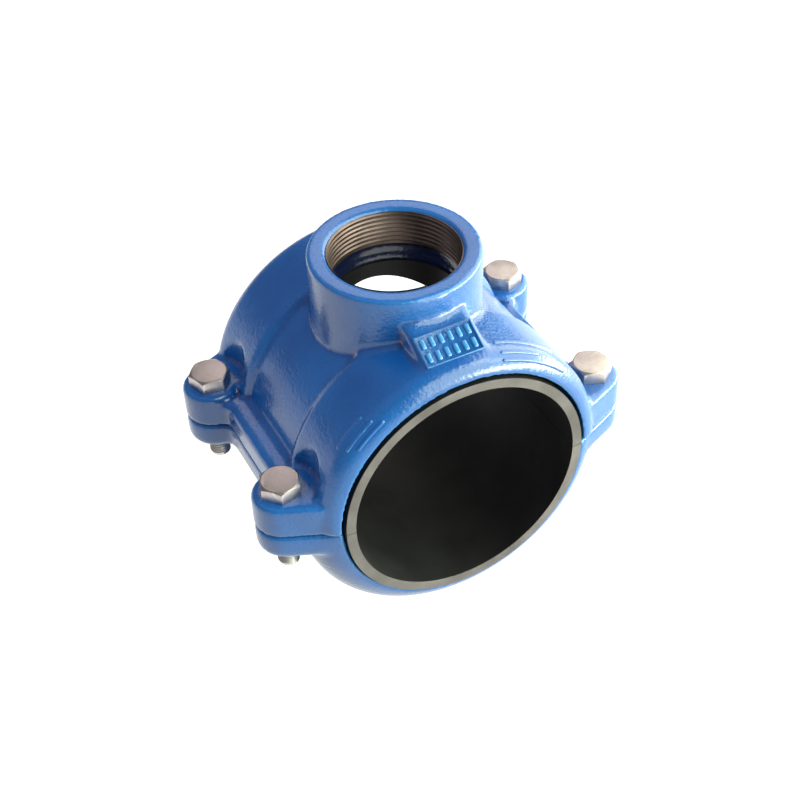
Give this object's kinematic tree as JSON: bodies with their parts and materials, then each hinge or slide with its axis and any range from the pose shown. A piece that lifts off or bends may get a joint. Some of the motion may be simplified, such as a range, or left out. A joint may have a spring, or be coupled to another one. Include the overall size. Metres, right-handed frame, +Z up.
{
  "type": "mechanical tee",
  "caption": "Clamp-on branch saddle for plastic pipe: two bolted cast halves lined with rubber, and a threaded outlet neck on top.",
  "frame": {"origin": "where the axis of the main pipe crosses the axis of the outlet, on the parting plane", "axes": "+X along the main pipe, +Z up the outlet neck, +Y across to the right-hand screws"},
  "size_m": [0.129, 0.184, 0.1647],
  "materials": {
    "coated_iron": "glossy blue epoxy coat",
    "rubber": "matt black",
    "zinc_steel": "zinc plated"
  },
  "bodies": {
    "housing": {"upper_housing": "coated_iron", "upper_liner": "rubber"},
    "strap": {"lower_strap": "coated_iron", "lower_liner": "rubber"},
    "screw_front_left": {"bolt_front_left": "zinc_steel"},
    "screw_rear_left": {"bolt_rear_left": "zinc_steel"},
    "screw_front_right": {"bolt_front_right": "zinc_steel"},
    "screw_rear_right": {"bolt_rear_right": "zinc_steel"}
  },
  "joints": [
    {"name": "strap_drop", "type": "slide", "parent": "housing", "child": "strap", "axis": [0, 0, -1], "range_m": [0, 0.027]},
    {"name": "front_left_screw_turn", "type": "hinge", "parent": "housing", "child": "screw_front_left", "pos_m": [0.0408, -0.0788, 0.017], "axis": [0, 0, 1], "range_deg": [-10, 6490]},
    {"name": "rear_left_screw_turn", "type": "hinge", "parent": "housing", "child": "screw_rear_left", "pos_m": [-0.0408, -0.0788, 0.017], "axis": [0, 0, 1], "range_deg": [-10, 6490]},
    {"name": "front_right_screw_turn", "type": "hinge", "parent": "housing", "child": "screw_front_right", "pos_m": [0.0408, 0.0788, 0.017], "axis": [0, 0, 1], "range_deg": [-10, 6490]},
    {"name": "rear_right_screw_turn", "type": "hinge", "parent": "housing", "child": "screw_rear_right", "pos_m": [-0.0408, 0.0788, 0.017], "axis": [0, 0, 1], "range_deg": [-10, 6490]}
  ],
  "couplings": [
    {"joint": "front_left_screw_turn", "follows": "strap_drop", "rad_per_m": 4188.8},
    {"joint": "rear_left_screw_turn", "follows": "strap_drop", "rad_per_m": 4188.8},
    {"joint": "front_right_screw_turn", "follows": "strap_drop", "rad_per_m": 4188.8},
    {"joint": "rear_right_screw_turn", "follows": "strap_drop", "rad_per_m": 4188.8}
  ]
}
